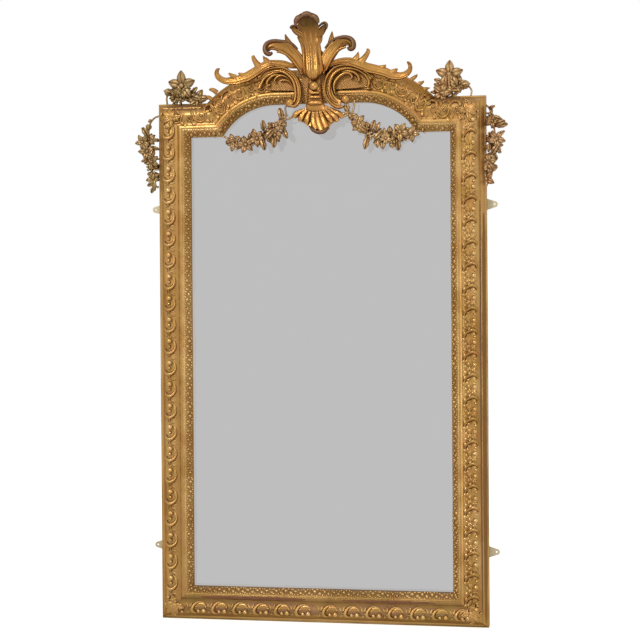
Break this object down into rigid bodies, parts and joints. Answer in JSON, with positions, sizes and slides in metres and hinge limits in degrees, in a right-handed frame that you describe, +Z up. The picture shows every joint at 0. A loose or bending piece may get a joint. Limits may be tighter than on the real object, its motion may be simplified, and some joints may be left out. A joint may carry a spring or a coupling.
{
  "type": "wall mirror",
  "caption": "Tall giltwood wall mirror with an arched head, a carved plume and shell crest, wire flower garlands, mitred gilt mouldings and a boarded back.",
  "frame": {"origin": "middle of the four wall-plate holes, on the wall plane", "axes": "+X to the right as seen from the room, +Y into the wall, +Z up"},
  "size_m": [1.0776, 0.1821, 1.7303],
  "materials": {
    "gilt_moulding": "gilt gesso on pine",
    "gilt_ornament": "gilt carved wood and composition",
    "gilt_garland": "darkened gilt composition on wire",
    "pine": "aged bare pine",
    "mirror_glass": "silvered glass",
    "plate_brass": "pale lacquered brass",
    "button_brass": "dull brass",
    "screw_steel": "dull steel"
  },
  "bodies": {
    "frame": {"arch_moulding": "gilt_moulding", "arch_slip": "gilt_moulding", "backboard_centre": "pine", "backboard_left": "pine", "backboard_right": "pine", "batten_screws": "screw_steel", "bottom_moulding": "gilt_moulding", "bottom_rail": "pine", "bottom_shell_run": "gilt_ornament", "bottom_slip": "gilt_moulding", "button_screws": "screw_steel", "centre_plume": "gilt_ornament", "corner_leaves": "gilt_ornament", "crest_block": "pine", "crest_boss": "gilt_ornament", "crest_shell": "gilt_ornament", "glazing_blocks": "pine", "head_board": "pine", "left_acanthus": "gilt_ornament", "left_drop": "gilt_garland", "left_moulding": "gilt_moulding", "left_plume": "gilt_ornament", "left_rinceau": "gilt_ornament", "left_scroll": "gilt_ornament", "left_shell_run": "gilt_ornament", "left_shoulder_moulding": "gilt_moulding", "left_shoulder_slip": "gilt_moulding", "left_slip": "gilt_moulding", "left_spray": "gilt_garland", "left_stile": "pine", "left_swag": "gilt_garland", "lower_batten": "pine", "lower_left_wall_plate": "plate_brass", "lower_right_wall_plate": "plate_brass", "mirror_glass": "mirror_glass", "plate_screws": "screw_steel", "right_acanthus": "gilt_ornament", "right_drop": "gilt_garland", "right_moulding": "gilt_moulding", "right_plume": "gilt_ornament", "right_rinceau": "gilt_ornament", "right_scroll": "gilt_ornament", "right_shell_run": "gilt_ornament", "right_shoulder_moulding": "gilt_moulding", "right_shoulder_slip": "gilt_moulding", "right_slip": "gilt_moulding", "right_spray": "gilt_garland", "right_stile": "pine", "right_swag": "gilt_garland", "upper_batten": "pine", "upper_left_wall_plate": "plate_brass", "upper_right_wall_plate": "plate_brass"},
    "left_turn_button_1": {"left_turn_button_1": "button_brass"},
    "left_turn_button_2": {"left_turn_button_2": "button_brass"},
    "left_turn_button_3": {"left_turn_button_3": "button_brass"},
    "right_turn_button_1": {"right_turn_button_1": "button_brass"},
    "right_turn_button_2": {"right_turn_button_2": "button_brass"},
    "right_turn_button_3": {"right_turn_button_3": "button_brass"}
  },
  "joints": [
    {"name": "left_turn_button_1_swing", "type": "hinge", "parent": "frame", "child": "left_turn_button_1", "pos_m": [-0.41, -0.0064, -0.4215], "axis": [0, 1, 0], "range_deg": [-90, 90]},
    {"name": "left_turn_button_2_swing", "type": "hinge", "parent": "frame", "child": "left_turn_button_2", "pos_m": [-0.41, -0.0064, 0.0485], "axis": [0, 1, 0], "range_deg": [-90, 90]},
    {"name": "left_turn_button_3_swing", "type": "hinge", "parent": "frame", "child": "left_turn_button_3", "pos_m": [-0.41, -0.0064, 0.5185], "axis": [0, 1, 0], "range_deg": [-90, 90]},
    {"name": "right_turn_button_1_swing", "type": "hinge", "parent": "frame", "child": "right_turn_button_1", "pos_m": [0.41, -0.0064, -0.4215], "axis": [0, 1, 0], "range_deg": [-90, 90]},
    {"name": "right_turn_button_2_swing", "type": "hinge", "parent": "frame", "child": "right_turn_button_2", "pos_m": [0.41, -0.0064, 0.0485], "axis": [0, 1, 0], "range_deg": [-90, 90]},
    {"name": "right_turn_button_3_swing", "type": "hinge", "parent": "frame", "child": "right_turn_button_3", "pos_m": [0.41, -0.0064, 0.5185], "axis": [0, 1, 0], "range_deg": [-90, 90]}
  ]
}
